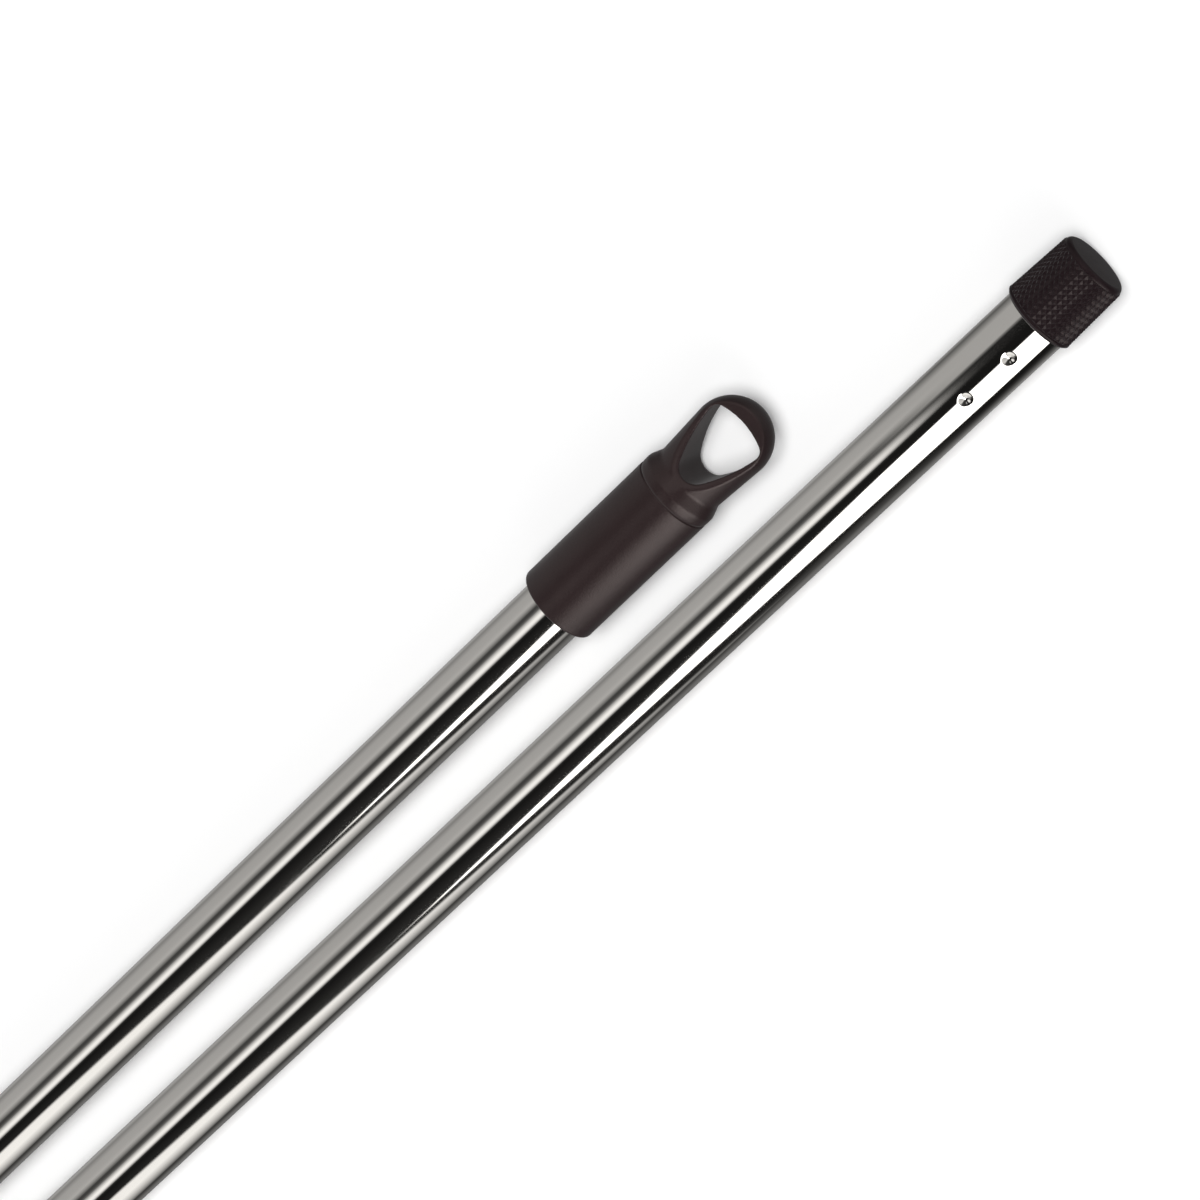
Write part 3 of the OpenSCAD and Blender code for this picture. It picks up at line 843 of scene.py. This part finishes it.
class POLE_OT_coupling(Operator):
    """Turns the spigot with its collar and the ferrule of the socket, and drills both for the button"""
    bl_idname = "pole.coupling"
    bl_label = "Coupling"

    def execute(self, context):
        pole = context.scene.pole
        size = pole.coupling
        finish = pole.finish
        black = black_moulding(
            "Black polypropylene of the coupling",
            finish.black, finish.black_worn, finish.black_sheen, finish.black_gloss)
        self.spigot(size, black)
        self.ferrule(size, black)
        return {"FINISHED"}

    def spigot(self, size, black):
        """The spigot with its rounded nose and its collar."""
        axis = axis_of("head_tube")
        nose, tail = (point.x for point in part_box("coupling_spigot"))
        collar = nose + size.out_len
        collar_end = collar + size.collar_len
        bevel = size.collar_bevel
        hole_x = middle("snap_button").x
        spigot = lathe("spigot_moulded", [
            (nose, size.bore_r), (nose, size.plug_r - size.nose),
            *reversed(corner(nose + size.nose, size.plug_r - size.nose, size.nose, 90)),
            *((x, size.plug_r) for x in beside_hole(hole_x, size)), (collar, size.plug_r),
            *reversed(corner(collar + bevel, size.collar_r - bevel, bevel, 90)),
            *reversed(corner(collar_end - bevel, size.collar_r - bevel, bevel, 0)),
            (collar_end, size.plug_r), (tail, size.plug_r), (tail, size.bore_r), (nose, size.bore_r),
        ], axis, MOULDED_SIDES)
        drill(spigot, hole_x, axis, size.hole_d, 2 * size.plug_r)
        hand_over(spigot, "coupling_spigot", black)

    def ferrule(self, size, black):
        """The ferrule, whose lip covers the end of the tube."""
        axis = axis_of("butt_tube")
        front, back = (point.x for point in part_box("socket_ferrule"))
        edge = size.ferrule_round
        # The lip's inner edge is broken by a third of that
        small = edge / 3
        hole_x = socket_hole_x(size)
        ferrule = lathe("ferrule_moulded", [
            (front, size.lip_r + small),
            *reversed(corner(front + edge, size.ferrule_r - edge, edge, 90)),
            *((x, size.ferrule_r) for x in beside_hole(hole_x, size)),
            *reversed(corner(back - edge, size.ferrule_r - edge, edge, 0)),
            (back, size.sleeve_r), (front + size.lip, size.sleeve_r), (front + size.lip, size.lip_r),
            (front + small, size.lip_r), (front, size.lip_r + small),
        ], axis, MOULDED_SIDES)
        drill(ferrule, hole_x, axis, size.hole_d, 2 * size.ferrule_r)
        hand_over(ferrule, "socket_ferrule", black)


class POLE_OT_button(Operator):
    """Turns the button and bends the leaf spring under it"""
    bl_idname = "pole.button"
    bl_label = "Spring button"

    def execute(self, context):
        pole = context.scene.pole
        self.button(pole.button, pole.finish)
        self.spring(pole.button, pole.finish)
        return {"FINISHED"}

    def button(self, size, finish):
        """The button, with a domed top and a flange that keeps it in the spigot."""
        low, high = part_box("snap_button")
        foot = Vector((middle("snap_button").x, middle("snap_button").y, low.z))
        tall = high.z - low.z
        radius = size.diameter / 2
        dome_r = (radius ** 2 + size.dome ** 2) / (2 * size.dome)
        dome_turn = math.asin((radius - size.edge) / dome_r)
        turns = [dome_turn * (i / DOME_STEPS) for i in range(DOME_STEPS + 1)]
        dome = [(tall - dome_r * (1 - math.cos(turn)), dome_r * math.sin(turn)) for turn in turns]
        button = lathe("button_turned", [
            (0, 0), (0, radius + size.flange_w),
            (size.flange_t, radius + size.flange_w), (size.flange_t, radius),
            (tall - size.dome - size.edge, radius), *reversed(dome),
        ], foot, BUTTON_SIDES, along=UP, out=ALONG)
        hand_over(button, "snap_button", turned_steel(finish, foot))

    def spring(self, size, finish):
        """The strip under the button, bent back on itself."""
        low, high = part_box("button_spring")
        half = size.spring_t / 2
        side = middle("button_spring").y - size.spring_w / 2
        top = high.z - half
        foot = low.z + half
        bend_z = (top + foot) / 2
        pad = size.diameter / 2 + size.flange_w
        button_x = middle("snap_button").x
        bend_x = high.x - half - size.spring_bend_r
        bend = reversed(corner(bend_x, bend_z, size.spring_bend_r, -90, 180))
        route = [(button_x - pad, top), (button_x + pad, top), *bend, (low.x + half, foot)]
        spring = draw("spring_bent", [Vector((x, side, z)) for x, z in route])
        bpy.ops.mesh.select_all(action="SELECT")
        bpy.ops.mesh.extrude_region_move(TRANSFORM_OT_translate={"value": ACROSS * size.spring_w})
        bare()
        apply(spring, "SOLIDIFY", thickness=size.spring_t, offset=0)
        weld(spring)
        apply(spring, "BEVEL", width=size.spring_edge, segments=2, limit_method="ANGLE",
              angle_limit=SHEARED)
        hand_over(spring, "button_spring", rolled_strip(finish))
        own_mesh(spring)


class POLE_OT_stage(Operator):
    """Lays the floor and sets the lamp, the studio around it and the camera"""
    bl_idname = "pole.stage"
    bl_label = "Stage"

    def execute(self, context):
        scene = context.scene
        stage = scene.pole.stage
        scene.view_settings.view_transform = "Standard"
        self.floor(stage)
        self.key_lamp(stage)
        self.studio(scene, stage)
        self.camera(scene, stage)
        return {"FINISHED"}

    def floor(self, stage):
        """White paper under the poles."""
        bare()
        bpy.ops.mesh.primitive_plane_add(size=stage.floor_size)
        floor = fresh("floor")
        paper = surface("White paper", Base_Color=opaque(stage.floor_colour), Roughness=0.9)[0]
        floor.data.materials.append(paper)
        # The chrome shows the studio's lights and flags below the horizon too
        floor.visible_glossy = False

    def key_lamp(self, stage):
        """The broad lamp overhead, which lights the matt surfaces."""
        bare()
        bpy.ops.object.light_add(type="SUN", rotation=(stage.key_side, stage.key_end, 0))
        lamp = bpy.context.object
        lamp.name = "overhead_lamp"
        lamp.data.energy = stage.key_light
        lamp.data.angle = stage.key_spread
        lamp.visible_glossy = False

    def studio(self, scene, stage):
        """The room as the chrome mirrors it: strip lights and dark flags that run along the poles."""
        world = bpy.data.worlds.new("Studio")
        scene.world = world
        world.use_nodes = True
        tree = world.node_tree
        tree.nodes.clear()
        way = node(tree, "ShaderNodeSeparateXYZ", {0: node(tree, "ShaderNodeTexCoord").outputs["Generated"]})
        turn = node(tree, "ShaderNodeMath", {0: way.outputs["Y"], 1: way.outputs["Z"]}, operation="ARCTAN2")
        turn = node(tree, "ShaderNodeMath", {0: turn.outputs[0]}, operation="DEGREES").outputs[0]
        lean = node(tree, "ShaderNodeMath", {0: way.outputs["X"], 1: -1}, operation="MULTIPLY").outputs[0]
        at = {}
        for name, (low, high, at_low, at_high) in LEANING.items():
            at[name] = node(tree, "ShaderNodeMapRange", {
                "Value": lean, "From Min": low, "From Max": high, "To Min": at_low, "To Max": at_high,
            }).outputs["Result"]

        def below(value, edge, soft):
            """1 where the value is below the edge, 0 above it, with a soft step."""
            gap = node(tree, "ShaderNodeMath", {0: edge, 1: value}, operation="SUBTRACT").outputs[0]
            return node(tree, "ShaderNodeMapRange", {
                "Value": gap, "From Min": -soft, "From Max": soft,
            }, interpolation_type="SMOOTHSTEP").outputs["Result"]

        def walls(stops, shift=0):
            """Levels of one stretch of walls by turn about the poles."""
            moved = node(tree, "ShaderNodeMath", {0: turn, 1: shift}, operation="ADD").outputs[0]
            share = node(tree, "ShaderNodeMapRange", {
                "Value": moved, "From Min": -180, "From Max": 180}).outputs["Result"]
            ramp = node(tree, "ShaderNodeValToRGB", {"Fac": share})
            elements = ramp.color_ramp.elements
            while len(elements) > 1:
                elements.remove(elements[-1])
            for i, (degrees, grey) in enumerate(stops):
                place = (degrees + 180) / 360
                stop = elements.new(place) if i else elements[0]
                stop.position = place
                stop.color = (grey, grey, grey, 1)
            return ramp.outputs["Color"]

        near = walls(NEAR_WALLS)
        far = walls(FAR_WALLS, at["far_turn"])
        room = node(tree, "ShaderNodeMix", {
            "Factor": at["far_share"], FIGURE_A: near, FIGURE_B: far}).outputs[FIGURE]
        other = walls(OTHER_WALLS)
        room = node(tree, "ShaderNodeMix", {
            "Factor": at["back_share"], FIGURE_A: other, FIGURE_B: room}).outputs[FIGURE]
        # The front softbox narrows to a point as directions lean back
        in_box = node(tree, "ShaderNodeMath", {
            0: below(turn, at["front_box_top"], FRONT_BOX_EDGE),
            1: below(at["front_box_foot"], turn, FRONT_BOX_EDGE),
        }, operation="MULTIPLY").outputs[0]
        in_box = node(tree, "ShaderNodeMath", {
            0: in_box, 1: at["back_share"]}, operation="MULTIPLY").outputs[0]
        room = node(tree, "ShaderNodeMix", {
            "Factor": in_box, FIGURE_A: room, FIGURE_B: stage.front_box}).outputs[FIGURE]
        # The rear softbox comes up behind it and fades towards the ground
        in_box = node(tree, "ShaderNodeMath", {
            0: below(turn, at["rear_box_top"], REAR_BOX_EDGE), 1: below(REAR_FOOT, turn, REAR_FOOT_EDGE),
        }, operation="MULTIPLY").outputs[0]
        fade = node(tree, "ShaderNodeMapRange", {
            "Value": turn, "From Min": REAR_FADE_FROM, "From Max": REAR_FOOT,
            "To Min": stage.rear_box, "To Max": stage.rear_foot,
        }).outputs["Result"]
        room = node(tree, "ShaderNodeMix", {
            "Factor": in_box, FIGURE_A: room, FIGURE_B: fade}).outputs[FIGURE]
        # The room's ends are plain
        reach = node(tree, "ShaderNodeMath", {0: lean}, operation="ABSOLUTE").outputs[0]
        in_ends = node(tree, "ShaderNodeMapRange", {
            "Value": reach, "From Min": ENDS_FROM, "From Max": ENDS_PLAIN}).outputs["Result"]
        room = node(tree, "ShaderNodeMix", {
            "Factor": in_ends, FIGURE_A: room, FIGURE_B: stage.ends}).outputs[FIGURE]
        room = node(tree, "ShaderNodeMath", {0: room, 1: stage.strip_light}, operation="MULTIPLY").outputs[0]
        # Matt surfaces get an even fill instead
        rays = node(tree, "ShaderNodeLightPath")
        room = node(tree, "ShaderNodeMix", {
            "Factor": rays.outputs["Is Diffuse Ray"], FIGURE_A: room, FIGURE_B: stage.fill_light,
        }).outputs[FIGURE]
        light = node(tree, "ShaderNodeBackground", {"Strength": room, "Color": (1, 1, 1, 1)})
        node(tree, "ShaderNodeOutputWorld", {"Surface": light.outputs["Background"]})

    def camera(self, scene, stage):
        """The camera at the photograph's place, angle and lens."""
        bare()
        bpy.ops.object.camera_add()
        camera = bpy.context.object
        flat = math.cos(stage.camera_elevation)
        back = Vector((flat * math.cos(stage.camera_azimuth), flat * math.sin(stage.camera_azimuth),
                       math.sin(stage.camera_elevation)))
        right = (-back).cross(UP).normalized()
        upright = right.cross(-back)
        unrolled = Matrix((right, upright, back)).transposed()
        roll = Matrix.Rotation(stage.camera_roll, 3, "Z")
        camera.matrix_world = Matrix.Translation(stage.camera_at) @ (unrolled @ roll).to_4x4()
        camera.data.sensor_width = SENSOR
        camera.data.lens = stage.camera_lens
        scene.camera = camera


class POLE_PT_panel(Panel):
    """Lists the steps that model the pole"""
    bl_idname = "POLE_PT_panel"
    bl_label = "Take-apart pole"
    bl_space_type = "VIEW_3D"
    bl_region_type = "UI"
    bl_category = "Pole"

    def draw(self, context):
        for step in STEPS:
            self.layout.operator(step.bl_idname)


STEPS = (POLE_OT_tubes, POLE_OT_tip, POLE_OT_cap, POLE_OT_coupling, POLE_OT_button, POLE_OT_stage)
CLASSES = (TubeSizes, TipSizes, CapSizes, CouplingSizes, ButtonSizes, Finishes, StageSettings, PoleSettings,
           *STEPS, POLE_PT_panel)


def register():
    """Makes the settings, the operators and the panel known to Blender."""
    for cls in CLASSES:
        bpy.utils.register_class(cls)
    bpy.types.Scene.pole = PointerProperty(type=PoleSettings)


def unregister():
    """Takes them away again."""
    del bpy.types.Scene.pole
    for cls in reversed(CLASSES):
        bpy.utils.unregister_class(cls)


def main():
    """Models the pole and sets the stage."""
    register()
    bpy.ops.pole.tubes()
    bpy.ops.pole.tip()
    bpy.ops.pole.cap()
    bpy.ops.pole.coupling()
    bpy.ops.pole.button()
    bpy.ops.pole.stage()


if __name__ == "__main__":
    main()
